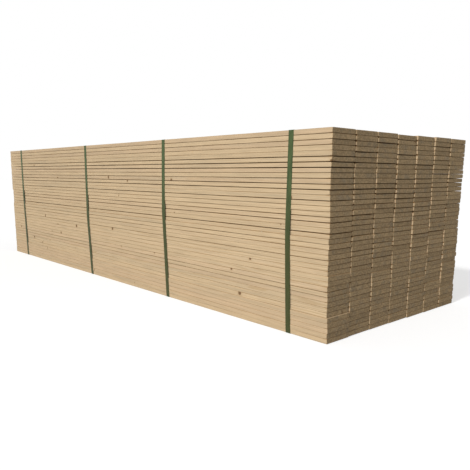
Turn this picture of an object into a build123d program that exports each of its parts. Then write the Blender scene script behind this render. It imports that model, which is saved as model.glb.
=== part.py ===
"""A strapped stack of sawn softwood boards.

The boards lie flat, side by side in columns and one on another in layers, with no spacers. Taut flat straps
tie the stack: each runs once round the girth and is welded to itself where its two ends lap.

Frame: +X along the boards, towards the near end; +Y across the stack, towards the back; +Z up. The origin is
the middle of the base. Sizes are in millimetres.
"""

import math
import os
import random

from build123d import *

# The boards, as sawn
BOARD_LENGTH = 4000.0
BOARD_WIDTH = 175.0
BOARD_THICKNESS = 25.0
ARRIS = 1.0

# The stack
COLUMNS = 7
LAYERS = 40
COLUMN_GAP = 3.0

# How far the sawing and the stacking wander, to either side
THICKNESS_PLAY = 0.5
END_PLAY = 2.0
SIDE_PLAY = 0.7

# Each column is squared up a few layers at a time, and such a lift wanders endways as one
LIFT_LAYERS = 5
LIFT_PLAY = 1.0

# How much further out each column stands at the near end than the one in front of it, from the front, at the
# top of the stack and at its foot
TOP_STEPS = (3.5, 3.0, 7.5, 6.0, 6.0, 4.5)
FOOT_STEPS = (3.0, 3.5, 2.5, 4.0, 2.5, 4.0)

# How far the lowest lift of the front column stands out from the rest of it
LIFT_STEP = 8.0

# Cupping: how far the top of a board falls from its middle to an edge. The most in a tight joint, which is
# reached at the top of the stack, then the least and the most in one that gapes narrowly or widely
TIGHT_CUP = 1.0
NARROW_GAPE = (1.4, 2.4)
WIDE_GAPE = (3.0, 4.5)

# The joints that gape widely and narrowly, counted down from the top, for each column from the front
GAPING_JOINTS = (
    ((5, 6, 7, 10, 11, 13, 17, 19), (1, 2, 3, 8, 9, 14, 16, 21, 22, 24, 30, 31)),
    ((4, 6, 11, 16, 20), (2, 5, 7, 8, 10, 12, 13, 17, 18, 21, 23, 24, 26)),
    ((2, 6, 11, 12), (1, 7, 10, 13, 14, 15, 17, 20, 22, 23, 25)),
    ((4, 9, 13), (1, 6, 11, 12, 15, 16, 18, 20, 23)),
    ((6, 9, 21), (3, 7, 10, 11, 12, 13, 15, 16, 17, 24)),
    ((2, 8, 21), (4, 5, 6, 7, 10, 11, 12, 14, 15, 18, 28)),
    ((9, 10, 12), (1, 3, 4, 7, 8, 11, 15, 19, 21, 23)),
)

# The straps: their section, the places of the two end ones, and how all are spread between those
STRAP_WIDTH = 32.0
STRAP_THICKNESS = 1.0
NEAR_STRAP_INSET = 245.0
FAR_STRAP_INSET = 305.0
STRAP_SPREAD = (0.0, 0.308, 0.613, 1.0)

# How much nearer the near end each strap is at the bottom of the stack than at the top, and how far its kink
# is drawn towards the far end from the line between the two, from the near end
STRAP_LEANS = (10.0, 20.0, 35.0, 33.0)
STRAP_KINKS = (10.0, 25.0, 25.0, 12.0)

# The welded laps, where the straps kink: their length and sideways skew, then the long side of each and its
# height as a share of the stack's, from the near end
LAP_LENGTH = 80.0
LAP_SKEW = 6.0
FRONT, BACK = -1, 1
LAP_SIDES = (BACK, FRONT, FRONT, FRONT)
LAP_SHARES = (0.52, 0.56, 0.46, 0.58)

COLUMN_PITCH = BOARD_WIDTH + COLUMN_GAP


def edge_fall(chance, column, layer):
    """How far a cupped board falls away towards one long edge, which is how far the joint above it gapes. The
    weight closes tight joints further down."""
    wide, narrow = GAPING_JOINTS[column % len(GAPING_JOINTS)]
    joint = LAYERS - 1 - layer
    if joint in wide:
        return chance.uniform(*WIDE_GAPE)
    if joint in narrow:
        return chance.uniform(*NARROW_GAPE)
    return chance.uniform(0, TIGHT_CUP) * (layer + 1) / LAYERS


def board_outline(front, base, thickness, front_fall, back_fall):
    """A board's section as corners in (Y, Z): level below, crowned along the middle above, arrises eased."""
    back = front + BOARD_WIDTH
    middle = front + BOARD_WIDTH / 2
    top = base + thickness
    return [
        (front + ARRIS, base),
        (back - ARRIS, base),
        (back, base + ARRIS),
        (back, top - back_fall - ARRIS),
        (back - ARRIS, top - back_fall),
        (middle, top),
        (front + ARRIS, top - front_fall),
        (front, top - front_fall - ARRIS),
        (front, base + ARRIS),
    ]


def column_push(column, layer):
    """How far a column is pushed out at the near end, at this layer."""
    height = layer / max(LAYERS - 1, 1)
    push = 0.0
    for step in range(column):
        top = TOP_STEPS[step % len(TOP_STEPS)]
        foot = FOOT_STEPS[step % len(FOOT_STEPS)]
        push += foot + (top - foot) * height
    return push


def lift_push(column, layer):
    """How far the lift that a board belongs to stands out of its column."""
    if column == 0 and layer < LIFT_LAYERS:
        return LIFT_STEP
    chance = random.Random(f"lift {column} {layer // LIFT_LAYERS}")
    return chance.uniform(-LIFT_PLAY, LIFT_PLAY)


def stack_column(column):
    """One column of boards from the ground up, each as its outline, far end and near end. A board lies level
    on the crown of the board below it."""
    boards = []
    base = STRAP_THICKNESS
    for layer in range(LAYERS):
        chance = random.Random(f"board {column} {layer}")
        thickness = BOARD_THICKNESS + chance.uniform(-THICKNESS_PLAY, THICKNESS_PLAY)
        front_fall = edge_fall(chance, column, layer)
        back_fall = edge_fall(chance, column, layer)
        front = column * COLUMN_PITCH + chance.uniform(-SIDE_PLAY, SIDE_PLAY)
        push = column_push(column, layer) + lift_push(column, layer)
        far_end = push + chance.uniform(-END_PLAY, END_PLAY)
        near_end = push + BOARD_LENGTH + chance.uniform(-END_PLAY, END_PLAY)
        outline = board_outline(front, base, thickness, front_fall, back_fall)
        boards.append((outline, far_end, near_end))
        base += thickness
    return boards


def board(outline, far_end, near_end):
    """A board: its section drawn out along X."""
    section = Plane.YZ * make_face(Polyline(*outline, close=True))
    return (Pos(far_end, 0, 0) * extrude(section, amount=near_end - far_end)).solid()


def turn(a, b, c):
    """Positive where the way from a by b to c turns left."""
    return (b[0] - a[0]) * (c[1] - a[1]) - (b[1] - a[1]) * (c[0] - a[0])


def taut_chain(points):
    """One half of the convex hull of points that are in order, without its last corner."""
    chain = []
    for point in points:
        while len(chain) > 1 and turn(chain[-2], chain[-1], point) <= 0:
            chain.pop()
        chain.append(point)
    return chain[:-1]


def taut_outline(points):
    """The line of a taut strap round these points: their convex hull, which bridges what is set back."""
    ordered = sorted(points)
    return taut_chain(ordered) + taut_chain(ordered[::-1])


def half_strap(girth, foot, slope, lap_side, lap_height, end):
    """The half of a strap below or above the middle of its lap, which is the half's own upper or lower end.
    It lies in a plane that leans along the stack. The lap is a second thickness of strap, a little askew."""
    stack_height = LAYERS * BOARD_THICKNESS
    stack_width = COLUMNS * COLUMN_PITCH
    leaning = Plane(origin=(foot - STRAP_WIDTH / 2, 0, 0), x_dir=(0, 1, 0), z_dir=(1, 0, -slope))
    stretch = math.hypot(1, slope)
    wrapped = make_face(Polyline(*[(y, z * stretch) for y, z in girth], close=True))
    once = offset(wrapped, STRAP_THICKNESS, kind=Kind.INTERSECTION)
    twice = offset(wrapped, 2 * STRAP_THICKNESS, kind=Kind.INTERSECTION)
    middle = wrapped.center().X
    cut = lap_height * stretch
    half = Pos(middle, cut) * Rectangle(2 * stack_width, 2 * stack_height, align=(Align.CENTER, end))
    lap_zone = Pos(middle + lap_side * stack_width / 2, cut) * Rectangle(stack_width / 2, LAP_LENGTH)
    band = extrude(leaning * ((once - wrapped) & half), amount=STRAP_WIDTH, dir=(1, 0, 0))
    lap = extrude(leaning * ((twice - once) & half & lap_zone), amount=STRAP_WIDTH, dir=(1, 0, 0))
    return band + Pos(LAP_SKEW, 0, 0) * lap


def strap(girth, place, lean, kink, lap_side, lap_share):
    """A strap round the girth. It leans along the stack, and kinks where its two ends lap and are welded."""
    stack_height = LAYERS * BOARD_THICKNESS
    lap_height = lap_share * stack_height
    foot = place + lean / 2
    knee = foot - lean * lap_share - kink
    head = place - lean / 2
    slope = (knee - foot) / lap_height
    lower = half_strap(girth, foot, slope, lap_side, lap_height, Align.MAX)
    slope = (head - knee) / (stack_height - lap_height)
    upper = half_strap(girth, knee - slope * lap_height, slope, lap_side, lap_height, Align.MIN)
    return (lower + upper).solid()


def strap_places():
    """Where the middles of the straps are along X, from the near end to the far end."""
    near = BOARD_LENGTH - NEAR_STRAP_INSET
    far = FAR_STRAP_INSET
    return [near + share * (far - near) for share in STRAP_SPREAD]


columns = [stack_column(column) for column in range(COLUMNS)]

pieces = {}
for layer in range(LAYERS):
    boards = [board(*column[layer]) for column in columns]
    pieces[f"board_layer_{layer + 1:02d}"] = Compound(boards)

corners = [corner for column in columns for outline, _, _ in column for corner in outline]
girth = taut_outline(corners)
straps = zip(strap_places(), STRAP_LEANS, STRAP_KINKS, LAP_SIDES, LAP_SHARES)
for number, strap_sizes in enumerate(straps):
    pieces[f"strap_{number + 1}"] = strap(girth, *strap_sizes)

# The origin goes to the middle of the base
whole = Compound(list(pieces.values())).bounding_box()
to_origin = Pos(-whole.center().X, -whole.center().Y, -whole.min.Z)

os.makedirs("parts", exist_ok=True)
for name, piece in pieces.items():
    export_step(to_origin * piece, f"parts/{name}.step")
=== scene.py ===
"""The looks of a strapped stack of sawn softwood boards.

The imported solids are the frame. Every board is made again here with worn arrises, saw wander and its own
grain, and every strap with its rounded edges, embossing and welded lap. Sizes are in metres.
"""

import math

import bpy
import numpy as np
from mathutils import Euler, Matrix, Vector
from mathutils.geometry import convex_hull_2d


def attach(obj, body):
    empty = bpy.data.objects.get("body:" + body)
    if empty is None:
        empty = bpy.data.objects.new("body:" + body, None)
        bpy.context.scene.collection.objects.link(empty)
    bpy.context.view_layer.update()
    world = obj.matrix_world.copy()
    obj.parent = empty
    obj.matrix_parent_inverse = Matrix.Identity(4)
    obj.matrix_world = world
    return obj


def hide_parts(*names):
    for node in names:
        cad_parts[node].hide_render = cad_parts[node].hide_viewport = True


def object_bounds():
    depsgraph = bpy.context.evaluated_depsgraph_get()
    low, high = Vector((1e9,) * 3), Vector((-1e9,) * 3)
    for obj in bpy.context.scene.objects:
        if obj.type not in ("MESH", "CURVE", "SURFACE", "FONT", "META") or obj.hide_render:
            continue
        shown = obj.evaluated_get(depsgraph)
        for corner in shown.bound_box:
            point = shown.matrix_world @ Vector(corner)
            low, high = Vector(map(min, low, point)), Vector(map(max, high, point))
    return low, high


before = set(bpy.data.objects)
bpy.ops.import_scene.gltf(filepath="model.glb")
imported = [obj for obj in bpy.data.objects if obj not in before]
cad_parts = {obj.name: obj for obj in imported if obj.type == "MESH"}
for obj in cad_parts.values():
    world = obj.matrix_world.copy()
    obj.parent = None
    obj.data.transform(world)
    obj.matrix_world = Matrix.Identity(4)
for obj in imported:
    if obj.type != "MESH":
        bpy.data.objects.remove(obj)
cad_low, cad_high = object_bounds()

# Sawn boards
# Softwood planks from the frame saw, four metres long, stacked flat in columns with no spacers. They have
# cupped and bowed a little in drying, so that some joints gape, and handling has worn their arrises.
BOARDS_PER_LAYER = 7
LIFT_LAYERS = 5

# Their arrises: how round, how that varies along a board, and how far the corners at the ends are knocked off
ARRISES = 4
ARRIS_RADIUS = 0.0012
ARRIS_WEAR = 0.0008
ARRIS_WAVE = 0.7
KNOCK = 0.0045
KNOCK_REACH = 0.03

# The painted shade: along the arrises at the joints, in knocked corners, on the faces inside the stack and in
# a line round each end at its joints
ARRIS_SHADE = 0.55
KNOCK_SHADE = 2.2
INSIDE_SHADE = 1.0
END_SHADE_LINE = (0.4, 1.15)

# How far the saw wandered, and which lifts stand back at the sides of the stack, and how far
SAW_WANDER = 0.0004
SAW_WAVE = 1.6
RAGGED_LIFTS = (1, 2, 3, 4)
SETBACK = (0.001, 0.005)

# How the cup varies along a board, how far from the far end it flattens out, and how far from the near end a
# board bows
GAPE_PLAY = 0.0005
GAPE_WAVE = 1.3
FLAT_REACH = 0.25
BOW_REACH = 0.35

# The ends: the near ones trimmed a little short, and the edges of all broken
END_TRIM = 0.0025
END_BREAK = 0.0016
END_RINGS = 3

# How finely a board is made: along it where it shows and where it is hidden, and round each arris
SHOWN_STEP = 0.05
HIDDEN_STEP = 0.4
ARC_STEPS = 3
TOP_PLACES = 2 * (ARC_STEPS + 1) + 1

layers = sorted(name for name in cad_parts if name.startswith("board_layer"))


def boards_in(layer):
    """The corners of each board of a layer, from the front column to the back one."""
    corners = np.array([vertex.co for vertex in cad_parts[layer].data.vertices])
    corners = corners[np.argsort(corners[:, 1])]
    return np.split(corners, BOARDS_PER_LAYER)


EDGE_BAND = 0.003


def edge_tops(corners):
    """How high a board's top is along its front edge and along its back edge."""
    across, up = corners[:, 1], corners[:, 2]
    return up[across < across.min() + EDGE_BAND].max(), up[across > across.max() - EDGE_BAND].max()


def outline(front, back, base, front_top, back_top, crown, radii):
    """A board's section, as (Y, Z) places from its front lower arris round to its front upper one. Of each
    place also whether it begins a stretch of round arris."""
    quarter = np.linspace(0, math.pi / 2, ARC_STEPS + 1)
    places, rounded = [], []

    # Each arris: where it is, which way the board lies from it, and the quarter turn that its round takes
    for (y, z, inward, upward, turn), radius in zip((
        (front, base, 1, 1, 2),
        (back, base, -1, 1, 3),
        (back, back_top, -1, -1, 0),
        (front, front_top, 1, -1, 1),
    ), radii):
        for angle in quarter + turn * math.pi / 2:
            places.append((y + radius * (inward + math.cos(angle)), z + radius * (upward + math.sin(angle))))
        rounded += [True] * ARC_STEPS + [False]
        if turn == 0:
            places.append(((front + back) / 2, crown))
            rounded.append(False)
    return places, rounded


def painted_shade(arrises, bare):
    """How much painted shade a board has at each place of its section: as given on its arrises, and all over
    the broad faces that lie inside the stack. A bare top has none."""
    unshaded, full = np.zeros_like(arrises[0]), np.full_like(arrises[0], INSIDE_SHADE)
    above = unshaded if bare else full
    lower_front, lower_back, upper_back, upper_front = ([line] * (ARC_STEPS - 1) for line in arrises)
    below = [unshaded, *lower_front, full, full, *lower_back, unshaded]
    return below + [unshaded, *upper_back, above, above, above, *upper_front, unshaded]


WAVE_SHARES = (1.0, 0.43, 0.19)


def wander(chance, along, wave):
    """A smooth line of chance along a board, between nought and one, with waves of about this length."""
    line = np.zeros_like(along)
    for share in WAVE_SHARES:
        line += share * np.sin(2 * math.pi * (along / (wave * share) + chance.random()))
    return (1 + np.tanh(line)) / 2


def board_mesh(corners, at_sides, setback, chance, spacing, bowed, bare):
    """One board: its places and how much painted shade each has, its faces, and of each face whether it is
    end grain and whether it is rounded. A front or a back face that is at a side of the stack is set back
    this far."""
    far, front, base = corners.min(0)
    near, back, crown = corners.max(0)
    near -= END_TRIM * chance.random()
    front, back = front + at_sides[0] * setback[0], back - at_sides[1] * setback[1]
    front_top, back_top = edge_tops(corners)

    # Stations along the board, with a few close together at each end for its broken edge
    inner = np.linspace(far + KNOCK_REACH, near - KNOCK_REACH, max(int((near - far) / spacing), 2))
    end_rings = END_BREAK * np.arange(END_RINGS)
    along = np.concatenate([far + end_rings, inner, near - end_rings[::-1]])
    from_end = np.minimum(along - far, near - along)
    broken = np.zeros_like(along)
    broken[[0, -1]] = END_BREAK

    # The saw wandered a little on each face
    front_saw, back_saw, front_top_saw, back_top_saw, base_saw = (
        broken + SAW_WANDER * wander(chance, along, SAW_WAVE) for _ in range(5)
    )

    # A cup varies along its board, and flattens out at the far end, where the joints are shut
    front_shut, back_shut = (GAPE_PLAY * wander(chance, along, GAPE_WAVE) for _ in range(2))
    cupped = np.clip((along - far) / FLAT_REACH, 0, 1)
    front_line = crown - cupped * np.maximum(crown - front_top - front_shut, 0) - front_top_saw
    back_line = crown - cupped * np.maximum(crown - back_top - back_shut, 0) - back_top_saw

    # Towards its near end a bowed board falls away from the one above right across, not only at its edges
    touching = np.clip((near - along) / BOW_REACH, 1 - bowed, 1)
    edge_line = (front_line + back_line) / 2
    crown_line = edge_line + (crown - broken - edge_line) * touching

    # Handling wears the arrises, and most of all knocks their corners at the ends
    wear_and_shade = [wander(chance, along, ARRIS_WAVE) for _ in range(ARRISES)]
    knocked = np.clip(1 - from_end / KNOCK_REACH, 0, 1)
    radii = [ARRIS_RADIUS + (ARRIS_WEAR + KNOCK * knocked) * line for line in wear_and_shade]
    lines = front + front_saw, back - back_saw, base + base_saw, front_line, back_line, crown_line
    ring, rounded = outline(*lines, radii)
    places = np.stack([np.stack([along, y, z], -1) for y, z in ring], 1)

    # Knocked corners inside the stack get painted shade, and those at its sides get none
    front_knock_shade, back_knock_shade = (KNOCK_SHADE * knocked * (not at_stack_side) for at_stack_side in at_sides)
    knock_shades = front_knock_shade, back_knock_shade, back_knock_shade, front_knock_shade
    arris_shade = [(ARRIS_SHADE + knock) * line for knock, line in zip(knock_shades, wear_and_shade)]
    shade_mask = np.stack(painted_shade(arris_shade, bare), 1)

    # A line of painted shade runs round each end, behind its broken edge, but not along a bare top at the
    # near end
    shade_mask[[1, -2], 1:-1] = chance.uniform(*END_SHADE_LINE)
    shade_mask[[0, -1]] = 0
    if bare:
        shade_mask[-2, -TOP_PLACES:] = 0

    stations, around = places.shape[:2]
    index = np.arange(stations * around).reshape(stations, around)
    beside = np.roll(index, -1, axis=1)
    sides = np.stack([index[:-1], beside[:-1], beside[1:], index[1:]], -1)
    is_end = np.zeros(sides.shape[:2], bool)
    is_end[[0, -1]] = True
    is_round = np.tile(rounded, (stations - 1, 1)) & ~is_end
    faces = sides.reshape(-1, 4).tolist() + [index[0, ::-1].tolist(), index[-1].tolist()]
    is_end = is_end.ravel().tolist() + [True, True]
    is_round = is_round.ravel().tolist() + [False, False]
    return places.reshape(-1, 3), shade_mask.ravel(), faces, is_end, is_round


def keep_on_points(mesh, name, kind, field, values):
    """Keep values on the points of a mesh, for its material to read."""
    mesh.attributes.new(name, kind, "POINT").data.foreach_set(field, np.concatenate(values).ravel())


def fill(tree, node, **settings):
    """Give a shader node's options and sockets their values, each an option, a number, a colour or the output
    of another node. A socket goes by its name, or by its number as i0, i1 and so on."""
    for name, value in settings.items():
        if name in node.bl_rna.properties:
            setattr(node, name, value)
            continue
        socket = node.inputs[int(name[1:])] if name[1:].isdigit() else node.inputs[name.replace("_", " ")]
        if isinstance(value, bpy.types.NodeSocket):
            tree.links.new(value, socket)
        else:
            socket.default_value = value


def add(tree, kind, **settings):
    """A new shader node with these settings."""
    node = tree.nodes.new(kind)
    fill(tree, node, **settings)
    return node


def number(tree, operation, a, b=0.0):
    """The result of a sum on numbers."""
    return add(tree, "ShaderNodeMath", operation=operation, i0=a, i1=b).outputs[0]


def times(tree, *values):
    """Numbers multiplied together."""
    product = values[0]
    for value in values[1:]:
        product = number(tree, "MULTIPLY", product, value)
    return product


def distance(tree, a, b):
    """The length of the long side of a right triangle."""
    return number(tree, "SQRT", number(tree, "ADD", times(tree, a, a), times(tree, b, b)))


def step(tree, value, low, high, first=0.0, last=1.0):
    """The first number below low, the last one above high, smooth between."""
    node = add(tree, "ShaderNodeMapRange", interpolation_type="SMOOTHSTEP", Value=value)
    fill(tree, node, From_Min=low, From_Max=high, To_Min=first, To_Max=last)
    return node.outputs[0]


def noise(tree, place, stretch, detail):
    """Cloudy noise at a place, with this many clouds to the metre each way, and this fine."""
    scaled = add(tree, "ShaderNodeVectorMath", operation="MULTIPLY", i0=place, i1=stretch).outputs[0]
    return add(tree, "ShaderNodeTexNoise", Vector=scaled, Scale=1.0, Detail=detail).outputs[0]


def mixed(tree, share, a, b):
    """Two colours mixed."""
    return add(tree, "ShaderNodeMix", data_type="RGBA", i0=share, i6=a, i7=b).outputs[2]


def dimmed(tree, colour, level):
    """A colour made lighter or darker by a level."""
    grey = add(tree, "ShaderNodeCombineColor", Red=level, Green=level, Blue=level).outputs[0]
    mix = add(tree, "ShaderNodeMix", data_type="RGBA", blend_type="MULTIPLY", i0=1.0, i6=colour, i7=grey)
    return mix.outputs[2]


def relief(tree, height, strength, rise):
    """The slopes of a fine relief that rises this far."""
    return add(tree, "ShaderNodeBump", Strength=strength, Distance=rise, Height=height).outputs[0]


def material_named(name):
    """A new material, its shader tree and its shader."""
    material = bpy.data.materials.new(name)
    material.use_nodes = True
    tree = material.node_tree
    return material, tree, tree.nodes["Principled BSDF"]


# Each board was cut somewhere along a trunk, to one side of the pith and above or below it
PITH_ASIDE = 0.07
PITH_NEAREST, PITH_FURTHEST = 0.015, 0.11
TRUNKS = 90.0

# Branches head for one of a board's four sides, veering by up to a share of a quarter turn
HEADINGS = 4.0
BRANCH_VEER = 0.55

# Knots: how far apart, how fast they widen from the pith and the least share of that, then how far out their
# edge is soft and their rim reaches, in their own radius
WHORL_SPACING = 0.16
KNOT_TAPER = 0.085
KNOT_LEAST = 0.4
KNOT_THINNEST = 0.0001
KNOT_EDGE = (0.75, 1.15)
KNOT_RIM = (1.0, 2.4)

# Year rings: how wide, how far and how slowly they sway, how many a knot pushes aside, and when in its year
# the late wood comes and stops
RING_WIDTH = 0.0034
GROWTH_SWAY = 0.03
GROWTH_CLOUDS = ((0.7, 9.0, 9.0), 2.0)
RINGS_ASIDE = 2
LATE_COMES = (0.35, 0.9)
LATE_STOPS = (0.92, 1.0)


def wood_field(tree):
    """The wood in the trunk's own places: knots running out from the pith, year rings round it, and with them
    the board's own tones and how much painted shade it has."""
    place = add(tree, "ShaderNodeAttribute", attribute_name="grain").outputs["Vector"]
    along, across, up = add(tree, "ShaderNodeSeparateXYZ", Vector=place).outputs

    # One branch for each stretch of trunk, heading more or less square to a face or an edge of the board
    stretch = number(tree, "FLOOR", number(tree, "DIVIDE", along, WHORL_SPACING))
    chance = add(tree, "ShaderNodeTexWhiteNoise", noise_dimensions="1D", W=stretch).outputs["Color"]
    where, heading, size = add(tree, "ShaderNodeSeparateColor", Color=chance).outputs
    quarters = times(tree, heading, HEADINGS)
    veer = times(tree, number(tree, "SUBTRACT", number(tree, "FRACT", quarters), 0.5), BRANCH_VEER)
    angle = times(tree, number(tree, "ADD", number(tree, "FLOOR", quarters), veer), math.pi / 2)
    cosine, sine = number(tree, "COSINE", angle), number(tree, "SINE", angle)
    outward = number(tree, "ADD", times(tree, across, cosine), times(tree, up, sine))
    aside = number(tree, "SUBTRACT", times(tree, up, cosine), times(tree, across, sine))
    branch = times(tree, number(tree, "ADD", stretch, where), WHORL_SPACING)
    away = distance(tree, number(tree, "SUBTRACT", along, branch), aside)
    girth = times(tree, outward, number(tree, "ADD", size, KNOT_LEAST), KNOT_TAPER)
    nearness = number(tree, "DIVIDE", away, number(tree, "MAXIMUM", girth, KNOT_THINNEST))
    knot = step(tree, nearness, *KNOT_EDGE, 1.0, 0.0)
    rim = step(tree, nearness, *KNOT_RIM, 1.0, 0.0)

    # Year rings sway with slow growth and sweep round the knots
    growth = times(tree, noise(tree, place, *GROWTH_CLOUDS), GROWTH_SWAY)
    radius = number(tree, "ADD", distance(tree, across, up), growth)
    radius = number(tree, "ADD", radius, times(tree, rim, RINGS_ASIDE * RING_WIDTH))
    year = number(tree, "FRACT", number(tree, "DIVIDE", radius, RING_WIDTH))
    late = times(tree, step(tree, year, *LATE_COMES), step(tree, year, *LATE_STOPS, 1.0, 0.0))

    tone = add(tree, "ShaderNodeAttribute", attribute_name="tone").outputs
    tones = add(tree, "ShaderNodeSeparateColor", Color=tone["Color"]).outputs
    return place, knot, rim, late, tones, tone["Alpha"]


EARLY_WOOD = (0.64, 0.485, 0.30, 1)
LATE_WOOD = (0.51, 0.345, 0.178, 1)
HEART_WOOD = (0.62, 0.44, 0.28, 1)
DULL_WOOD = (0.455, 0.365, 0.24, 1)
KNOT_WOOD = (0.15, 0.075, 0.03, 1)
# These two colours are painted shade: along the joints and on faces inside the stack, and darker in knocked
# corners
SHADED_WOOD = (0.36, 0.145, 0.004, 1)
DEEP_SHADE_WOOD = (0.085, 0.042, 0.012, 1)

# How much of each colour shows, and from where to where on its field it comes in
LATE_SHARE = 0.5
HEART_STEP, HEART_SHARE = (0.45, 1.0), 0.4
DULL_STEP, DULL_SHARE = (0.42, 0.72), 0.45
RIM_SHARE = 0.35
KNOT_SHARE = 0.85
SHADE_SHARE = 0.55
DEEP_SHADE_STEP = (1.0, 2.0)

# Fibres, streaks, figure and saw marks: clouds to the metre along, across and up, and how fine
FIBRES = ((3.0, 420.0, 420.0), 3.0)
STREAKS = ((1.6, 60.0, 60.0), 2.0)
FIGURE = ((7.0, 130.0, 130.0), 2.0)
SAW_MARKS = ((260.0, 14.0, 14.0), 2.0)

# The values of such noise between which it darkens or lightens, and roughens
CLOUD_MIDDLE = (0.3, 0.7)
CLOUD_REACH = (0.2, 0.8)

# How dark and how light boards, fibres and figure are, how rough and shiny the fibres, and how they and the
# saw marks stand up
BOARD_LEVELS = (0.965, 1.03)
FIBRE_LEVELS = (0.93, 1.07)
FIGURE_LEVELS = (0.94, 1.06)
SAWN_ROUGHNESS = (0.7, 0.9)
SAWN_SHINE = 0.25
FIBRE_RELIEF, SAW_RELIEF = 0.7, 0.5
SAWN_STRENGTH = 0.5
WOOD_RISE = 0.0006


def sawn_wood():
    """Rough-sawn faces and edges: pale pine with its grain, and fine marks across it from the saw."""
    material, tree, shader = material_named("sawn_softwood")
    place, knot, rim, late, (light, warm, dull), shade_mask = wood_field(tree)
    fibre = noise(tree, place, *FIBRES)
    streak = noise(tree, place, *STREAKS)
    figure = noise(tree, place, *FIGURE)

    colour = mixed(tree, times(tree, late, LATE_SHARE), EARLY_WOOD, LATE_WOOD)
    colour = mixed(tree, step(tree, warm, *HEART_STEP, 0.0, HEART_SHARE), colour, HEART_WOOD)
    colour = mixed(tree, times(tree, step(tree, streak, *DULL_STEP), dull, DULL_SHARE), colour, DULL_WOOD)
    colour = mixed(tree, times(tree, rim, RIM_SHARE), colour, LATE_WOOD)
    colour = mixed(tree, times(tree, knot, KNOT_SHARE), colour, KNOT_WOOD)
    # Painted shade along the joints, on faces inside the stack and in knocked corners
    colour = mixed(tree, times(tree, shade_mask, SHADE_SHARE), colour, SHADED_WOOD)
    colour = mixed(tree, step(tree, shade_mask, *DEEP_SHADE_STEP), colour, DEEP_SHADE_WOOD)
    level = step(tree, light, 0.0, 1.0, *BOARD_LEVELS)
    level = times(tree, level, step(tree, fibre, *CLOUD_MIDDLE, *FIBRE_LEVELS))
    level = times(tree, level, step(tree, figure, *CLOUD_MIDDLE, *FIGURE_LEVELS))

    saw = noise(tree, place, *SAW_MARKS)
    height = number(tree, "ADD", times(tree, fibre, FIBRE_RELIEF), times(tree, saw, SAW_RELIEF))
    fill(
        tree, shader,
        Base_Color=dimmed(tree, colour, level),
        Roughness=step(tree, fibre, *CLOUD_REACH, *SAWN_ROUGHNESS),
        Specular_IOR_Level=SAWN_SHINE,
        Normal=relief(tree, height, SAWN_STRENGTH, WOOD_RISE),
    )
    return material


END_WOOD = (0.37, 0.265, 0.146, 1)
END_LATE = (0.286, 0.192, 0.10, 1)
END_DIRT = (0.248, 0.203, 0.14, 1)
# This colour is painted shade along the joints round each end
END_SHADE = (0.075, 0.038, 0.01, 1)

# How much of each colour shows on an end, and how dark and how light ends and blotches are
STAIN_STEP = (0.4, 0.75)
STAIN_SHARES = (0.2, 0.7)
END_KNOT_SHARE = 0.6
END_SHADE_SHARE = 0.85
END_LEVELS = (0.94, 1.06)
BLOTCH_LEVELS = (0.8, 1.24)

# Stains, blotches and saw scratches: clouds to the metre along, across and up, and how fine
STAINS = ((3.0, 26.0, 26.0), 3.0)
BLOTCHES = ((3.0, 80.0, 140.0), 2.0)
SAW_SCRATCHES = ((1.0, 60.0, 900.0), 2.0)
END_ROUGHNESS = 0.9
END_SHINE = 0.15
RING_RELIEF = 0.4
END_STRENGTH = 0.6


def cut_end():
    """Cross-cut ends: open end grain that has dried dark, with its year rings and the saw's scratches."""
    material, tree, shader = material_named("cut_end_grain")
    place, knot, _, late, (light, _, dull), shade_mask = wood_field(tree)
    stain = noise(tree, place, *STAINS)
    blotch = noise(tree, place, *BLOTCHES)

    colour = mixed(tree, times(tree, late, LATE_SHARE), END_WOOD, END_LATE)
    dirty = step(tree, dull, 0.0, 1.0, *STAIN_SHARES)
    colour = mixed(tree, times(tree, step(tree, stain, *STAIN_STEP), dirty), colour, END_DIRT)
    colour = mixed(tree, times(tree, knot, END_KNOT_SHARE), colour, KNOT_WOOD)
    # Painted shade along the joints round each end
    colour = mixed(tree, times(tree, shade_mask, END_SHADE_SHARE), colour, END_SHADE)
    level = step(tree, light, 0.0, 1.0, *END_LEVELS)
    level = times(tree, level, step(tree, blotch, *CLOUD_MIDDLE, *BLOTCH_LEVELS))

    saw = noise(tree, place, *SAW_SCRATCHES)
    height = number(tree, "ADD", saw, times(tree, late, RING_RELIEF))
    fill(
        tree, shader,
        Base_Color=dimmed(tree, colour, level),
        Roughness=END_ROUGHNESS,
        Specular_IOR_Level=END_SHINE,
        Normal=relief(tree, height, END_STRENGTH, WOOD_RISE),
    )
    return material


side_wood = sawn_wood()
end_wood = cut_end()

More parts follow.
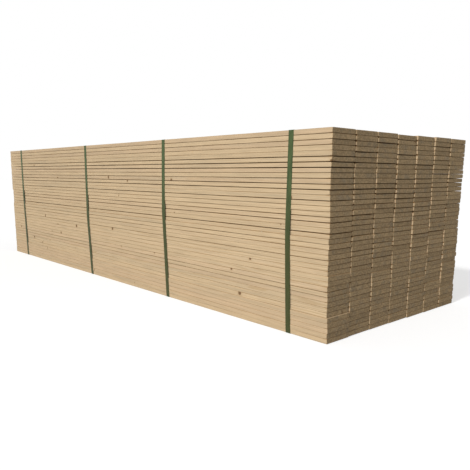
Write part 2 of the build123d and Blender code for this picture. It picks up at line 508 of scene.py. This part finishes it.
for up, layer in enumerate(layers):
    chance = np.random.default_rng(up)
    lift = up // LIFT_LAYERS
    setback = np.random.default_rng(lift).uniform(*SETBACK, 2) * (lift in RAGGED_LIFTS)
    places, grain, tone = [], [], []
    faces, is_end, is_round = [], [], []
    count = 0
    for column, corners in enumerate(boards_in(layer)):
        at_sides = np.array([column == 0, column == BOARDS_PER_LAYER - 1])
        shown = at_sides.any() or up in (0, len(layers) - 1)
        bowed = column < BOARDS_PER_LAYER - 1
        spacing = SHOWN_STEP if shown else HIDDEN_STEP
        # Besides the top of the stack, the top of the lowest lift of the front column is bare, where it
        # stands out, and
        #         gets no painted shade
        bare = up == len(layers) - 1 or (column == 0 and up == LIFT_LAYERS - 1)
        made = board_mesh(corners, at_sides, setback, chance, spacing, bowed, bare)
        points, shade_mask, board_faces, ends, rounds = made
        faces += [[corner + count for corner in face] for face in board_faces]
        count += len(points)
        is_end += ends
        is_round += rounds
        places.append(points)
        aside = chance.uniform(-PITH_ASIDE, PITH_ASIDE)
        below = chance.choice((-1, 1)) * chance.uniform(PITH_NEAREST, PITH_FURTHEST)
        middle = corners.mean(0)
        grain.append(points - middle + np.array([chance.uniform(0, TRUNKS), aside, below]))
        tone.append(np.column_stack([np.tile(chance.uniform(0, 1, 3), (len(points), 1)), shade_mask]))
    mesh = bpy.data.meshes.new(layer + "_boards")
    mesh.from_pydata(np.concatenate(places).tolist(), [], faces)
    keep_on_points(mesh, "grain", "FLOAT_VECTOR", "vector", grain)
    keep_on_points(mesh, "tone", "FLOAT_COLOR", "color", tone)
    mesh.materials.append(side_wood)
    mesh.materials.append(end_wood)
    mesh.polygons.foreach_set("material_index", np.array(is_end, np.int32))
    mesh.polygons.foreach_set("use_smooth", np.array(is_round))
    piece = bpy.data.objects.new(layer + "_boards", mesh)
    bpy.context.scene.collection.objects.link(piece)
    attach(piece, "root")
    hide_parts(layer)

# Straps
# Flat green polyester straps with a fine diamond embossing, drawn tight round the girth by a tensioning tool
# and friction-welded to themselves: the outer end laps over the inner one, a little askew, and is cut off
# square.
STRAP_WIDTH = 0.032
STRAP_THICKNESS = 0.001
STRAP_EDGE = 0.0003
STRAP_STEP = 0.02
STRAP_SWAY = 0.0015
SWAY_WAVES = (1, 2, 4)


def taut_line():
    """The line of a taut strap round the girth, as (Y, Z) places, and which way is outward at each. It
    bridges whatever is set back."""
    places = []
    for layer in layers:
        for corners in boards_in(layer):
            (_, front, base), (_, back, crown) = corners.min(0), corners.max(0)
            arrises = [ARRIS_RADIUS] * ARRISES
            places += outline(front, back, base, *edge_tops(corners), crown, arrises)[0]
    hull = np.array([places[index] for index in convex_hull_2d(places)])
    line = []
    for start, end in zip(hull, np.roll(hull, -1, axis=0)):
        pieces = max(math.ceil(math.dist(start, end) / STRAP_STEP), 1)
        line += [start + (end - start) * piece / pieces for piece in range(pieces)]
    line = np.array(line)
    ahead = np.roll(line, -1, axis=0) - np.roll(line, 1, axis=0)
    outward = np.stack([ahead[:, 1], -ahead[:, 0]], -1)
    outward /= np.linalg.norm(outward, axis=1, keepdims=True)
    return line, outward


def band(middle, line, outward, inner, outer, closed):
    """A strip of strap along a line, between two heights above it: its places, its faces, and how far along
    the strap, across it and up each place is."""
    half, edge = STRAP_WIDTH / 2, STRAP_EDGE
    heights = [inner, inner + edge, np.maximum(outer - edge, inner + edge), outer]

    # Its section: how far across each place is, and at which of the heights
    section = (
        (edge - half, 0), (half - edge, 0), (half, 1), (half, 2),
        (half - edge, 3), (edge - half, 3), (-half, 2), (-half, 1),
    )
    rings = []
    for across, level in section:
        sides = line + outward * np.broadcast_to(heights[level], len(line))[:, None]
        rings.append(np.column_stack([middle + across, sides]))
    places = np.stack(rings, 1)
    stations, around = places.shape[:2]
    index = np.arange(stations * around).reshape(stations, around)
    beside, ahead = np.roll(index, -1, axis=1), np.roll(index, -1, axis=0)
    quads = np.stack([index, beside, np.roll(beside, -1, axis=0), ahead], -1)
    faces = quads[: stations if closed else stations - 1].reshape(-1, 4).tolist()
    if not closed:
        faces += [index[0, ::-1].tolist(), index[-1].tolist()]
    run = np.concatenate([[0], np.cumsum(np.linalg.norm(np.diff(line, axis=0), axis=1))])
    weave = [np.stack([run, np.full(stations, across), line[:, 1]], -1) for across, _ in section]
    return places.reshape(-1, 3), faces, np.stack(weave, 1).reshape(-1, 3)


STRAP_GREEN = (0.080, 0.117, 0.042, 1)
STRAP_DARK = (0.050, 0.078, 0.027, 1)
STRAP_DUSTY = (0.112, 0.123, 0.051, 1)
STRAP_LOWER_DARK = (0.055, 0.058, 0.016, 1)

# Dark patches and dust: clouds to the metre along, across and up, how fine, and how much of them shows. Below
# a height the strap grows darker towards the floor
PATCHES, PATCH_STEP = ((14.0, 60.0, 1.0), 3.0), (0.35, 0.7)
DUST, DUST_STEP, DUST_SHARE = ((45.0, 120.0, 1.0), 4.0), (0.5, 0.8), 0.6
LOWER_DARK_STEP, LOWER_DARK_SHARE = (0.35, 0.85), 0.8

# The embossed diamonds: how wide and how high, and how they darken towards their edges, a painted shade in
# the grooves
DIAMOND = 0.0026
DIAMOND_RISE = 0.0002
DIAMOND_STRENGTH = 0.5
DIAMOND_SHADE_EDGE = (0.0, 0.4)
DIAMOND_SHADE_LEVELS = (0.85, 1.05)
STRAP_ROUGHNESS = (0.42, 0.6)
STRAP_SHINE = 0.2


def strap_plastic():
    """Green polyester, satin, embossed with diamonds, darker and duller in patches from handling."""
    material, tree, shader = material_named("strap_plastic")
    weave = add(tree, "ShaderNodeAttribute", attribute_name="weave").outputs["Vector"]
    run, across, height = add(tree, "ShaderNodeSeparateXYZ", Vector=weave).outputs
    rising = number(tree, "SINE", times(tree, number(tree, "ADD", run, across), math.pi / DIAMOND))
    falling = number(tree, "SINE", times(tree, number(tree, "SUBTRACT", run, across), math.pi / DIAMOND))
    diamonds = number(tree, "ABSOLUTE", times(tree, rising, falling))
    patches = noise(tree, weave, *PATCHES)
    dust = noise(tree, weave, *DUST)

    colour = mixed(tree, step(tree, patches, *PATCH_STEP), STRAP_GREEN, STRAP_DARK)
    colour = mixed(tree, step(tree, dust, *DUST_STEP, 0.0, DUST_SHARE), colour, STRAP_DUSTY)
    # Darker towards the floor
    colour = mixed(tree, step(tree, height, *LOWER_DARK_STEP, LOWER_DARK_SHARE, 0.0), colour, STRAP_LOWER_DARK)
    # Painted shade in the grooves between the embossed diamonds
    level = step(tree, diamonds, *DIAMOND_SHADE_EDGE, *DIAMOND_SHADE_LEVELS)
    fill(
        tree, shader,
        Base_Color=dimmed(tree, colour, level),
        Roughness=step(tree, dust, *CLOUD_MIDDLE, *STRAP_ROUGHNESS),
        Specular_IOR_Level=STRAP_SHINE,
        Normal=relief(tree, diamonds, DIAMOND_STRENGTH, DIAMOND_RISE),
    )
    return material


green_plastic = strap_plastic()
girth_line, girth_outward = taut_line()
turns = np.linspace(0, 2 * math.pi, len(girth_line), endpoint=False)

# The lap: how finely it is made, how its outer end thins out to a lip, how far it twists, and its ribbed weld
LAP_STEP = 0.0005
LAP_RAMP = 0.012
LAP_LIP = 0.1
LAP_TWIST = 0.004
WELD_LENGTH = 0.03
WELD_RIB = 0.002
WELD_RISE = 0.00025

# What counts as a long side of the stack, and as the second thickness of strap there
SQUARE_TO_SIDE = 0.9
SECOND_THICKNESS = 1.5 * STRAP_THICKNESS

for name in sorted(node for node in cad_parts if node.startswith("strap")):
    chance = np.random.default_rng(int(name[-1]))
    places, across, heights = np.array([vertex.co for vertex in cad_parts[name].data.vertices]).T

    # The lap is where the solid has a second thickness of strap, askew of the first, and the strap kinks
    # there
    side = math.copysign(1, across.min() + across.max())
    on_side = np.flatnonzero(girth_outward[:, 0] * side > SQUARE_TO_SIDE)
    on_side = on_side[np.argsort(girth_line[on_side, 1])]
    side_up, side_across = girth_line[on_side, 1], girth_line[on_side, 0]
    on_lap = side * (across - np.interp(heights, side_up, side_across)) > SECOND_THICKNESS
    low, high = heights[on_lap].min(), heights[on_lap].max()
    bends = 0, (low + high) / 2, heights.max()
    at_foot, at_knee, at_head = (np.abs(heights - bend) < STRAP_THICKNESS / 2 for bend in bends)
    foot, head = places[at_foot].mean(), places[at_head].mean()
    knee = places[at_knee & (side * across < 0)].mean()
    skew = places[at_knee & on_lap].mean() - knee

    sway = sum(STRAP_SWAY * np.sin(wave * turns + chance.uniform(0, 2 * math.pi)) for wave in SWAY_WAVES)
    middle = np.interp(girth_line[:, 1], bends, [foot, knee, head]) + sway
    loop = band(middle, girth_line, girth_outward, 0.0, STRAP_THICKNESS, True)

    up = np.arange(low, high, LAP_STEP)
    lap_line = np.stack([np.interp(up, side_up, side_across), up], -1)
    lap_middle = np.interp(up, side_up, middle[on_side])
    lap_middle += np.linspace(skew - LAP_TWIST, skew, len(up))
    ramp = np.clip((up - low) / LAP_RAMP, LAP_LIP, 1)
    welded = np.abs(up - (low + high) / 2) < WELD_LENGTH / 2
    ribs = welded * WELD_RISE * np.abs(np.sin(math.pi * up / WELD_RIB))
    lap_outer = STRAP_THICKNESS * (1 + ramp) - ribs
    lap_outward = np.tile([side, 0.0], (len(up), 1))
    lap = band(lap_middle, lap_line, lap_outward, STRAP_THICKNESS, lap_outer, False)

    faces = loop[1] + [[corner + len(loop[0]) for corner in face] for face in lap[1]]
    mesh = bpy.data.meshes.new(name + "_band")
    mesh.from_pydata(np.concatenate([loop[0], lap[0]]).tolist(), [], faces)
    keep_on_points(mesh, "weave", "FLOAT_VECTOR", "vector", [loop[2], lap[2]])
    mesh.materials.append(green_plastic)
    piece = bpy.data.objects.new(name + "_band", mesh)
    bpy.context.scene.collection.objects.link(piece)
    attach(piece, "root")
    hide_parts(name)

# Floor
# A plain pale studio floor, seamless with the white background, that takes the shadow of the stack.
FLOOR_REACH = 60.0
FLOOR_GREY = (0.6, 0.6, 0.6, 1)
FLOOR_GLOW = 0.54
WHITE = (1, 1, 1, 1)


def seen_at_once(tree):
    """One for what the camera sees, straight or in a mirror or through glass, and nought for light on its
    way."""
    path = add(tree, "ShaderNodeLightPath")
    seen = number(tree, "MAXIMUM", path.outputs["Is Camera Ray"], path.outputs["Is Glossy Ray"])
    return number(tree, "MAXIMUM", seen, path.outputs["Is Transmission Ray"])


floor_mesh = bpy.data.meshes.new("floor")
floor_corners = [(x * FLOOR_REACH, y * FLOOR_REACH, 0) for x, y in ((-1, -1), (1, -1), (1, 1), (-1, 1))]
floor_mesh.from_pydata(floor_corners, [], [(0, 1, 2, 3)])
floor = bpy.data.objects.new("floor", floor_mesh)
bpy.context.scene.collection.objects.link(floor)
floor_material, tree, shader = material_named("floor")
fill(
    tree, shader,
    Base_Color=FLOOR_GREY,
    Roughness=1.0,
    Specular_IOR_Level=0.0,
    Emission_Color=WHITE,
    Emission_Strength=times(tree, seen_at_once(tree), FLOOR_GLOW),
)
floor_mesh.materials.append(floor_material)

# Light
# A broad key lamp from the front, square to the long side, helped by a soft spot near the camera that fades
# along the stack, in an even white room.
KEY_POWER = 1.96
KEY_SOFTNESS = 6.0
KEY_AZIMUTH = -4.5
KEY_ELEVATION = 38.0
SPOT_POWER = 0.35
SPOT_SPREAD = 53.0
SPOT_DISTANCE = 10.0
SPOT_BEYOND = 1.5
ROOM_LIGHT = 0.40

key = bpy.data.lights.new("key", "SUN")
key.energy = KEY_POWER
key.angle = math.radians(KEY_SOFTNESS)
spot = bpy.data.lights.new("spot", "SPOT")
spot.energy = SPOT_POWER * 4 * math.pi * SPOT_DISTANCE ** 2
spot.spot_size = math.radians(SPOT_SPREAD)
spot.spot_blend = 1.0
spot.shadow_soft_size = SPOT_DISTANCE * math.tan(math.radians(KEY_SOFTNESS / 2))

bearing, height = math.radians(KEY_AZIMUTH), math.radians(KEY_ELEVATION)
aside, ahead = math.sin(bearing) * math.cos(height), math.cos(bearing) * math.cos(height)
towards = Vector((-aside, -ahead, math.sin(height)))
lit_place = Vector((cad_high[0] + SPOT_BEYOND, cad_low[1], cad_high[2] / 2))
for lamp in (key, spot):
    holder = bpy.data.objects.new(lamp.name, lamp)
    holder.location = lit_place + SPOT_DISTANCE * towards
    holder.rotation_euler = towards.to_track_quat("Z", "Y").to_euler()
    bpy.context.scene.collection.objects.link(holder)

world = bpy.data.worlds.new("room")
world.use_nodes = True
bpy.context.scene.world = world
tree = world.node_tree
room_level = step(tree, seen_at_once(tree), 0.0, 1.0, ROOM_LIGHT, 1.0)
fill(tree, tree.nodes["Background"], Color=WHITE, Strength=room_level)

# Camera
# At eye height off the near corner, as the photograph was taken.
IMAGE_SIZE = 470
FOCAL_PIXELS = 523.6
CENTRE_PIXEL = (240.0, 262.0)
EYE = (3.4652, -2.5334, 0.7956)
YAW, PITCH, ROLL = 47.448, 9.562, 0.319

lens = bpy.data.cameras.new("camera")
lens.lens = FOCAL_PIXELS / IMAGE_SIZE * lens.sensor_width
lens.shift_x = 0.5 - CENTRE_PIXEL[0] / IMAGE_SIZE
lens.shift_y = CENTRE_PIXEL[1] / IMAGE_SIZE - 0.5
camera = bpy.data.objects.new("camera", lens)
camera.location = EYE
aim = Euler((math.radians(90 - PITCH), 0, math.radians(YAW))).to_matrix()
camera.rotation_euler = (aim @ Matrix.Rotation(math.radians(ROLL), 3, "Z")).to_euler()
bpy.context.scene.collection.objects.link(camera)
bpy.context.scene.camera = camera
bpy.context.scene.view_settings.view_transform = "Standard"
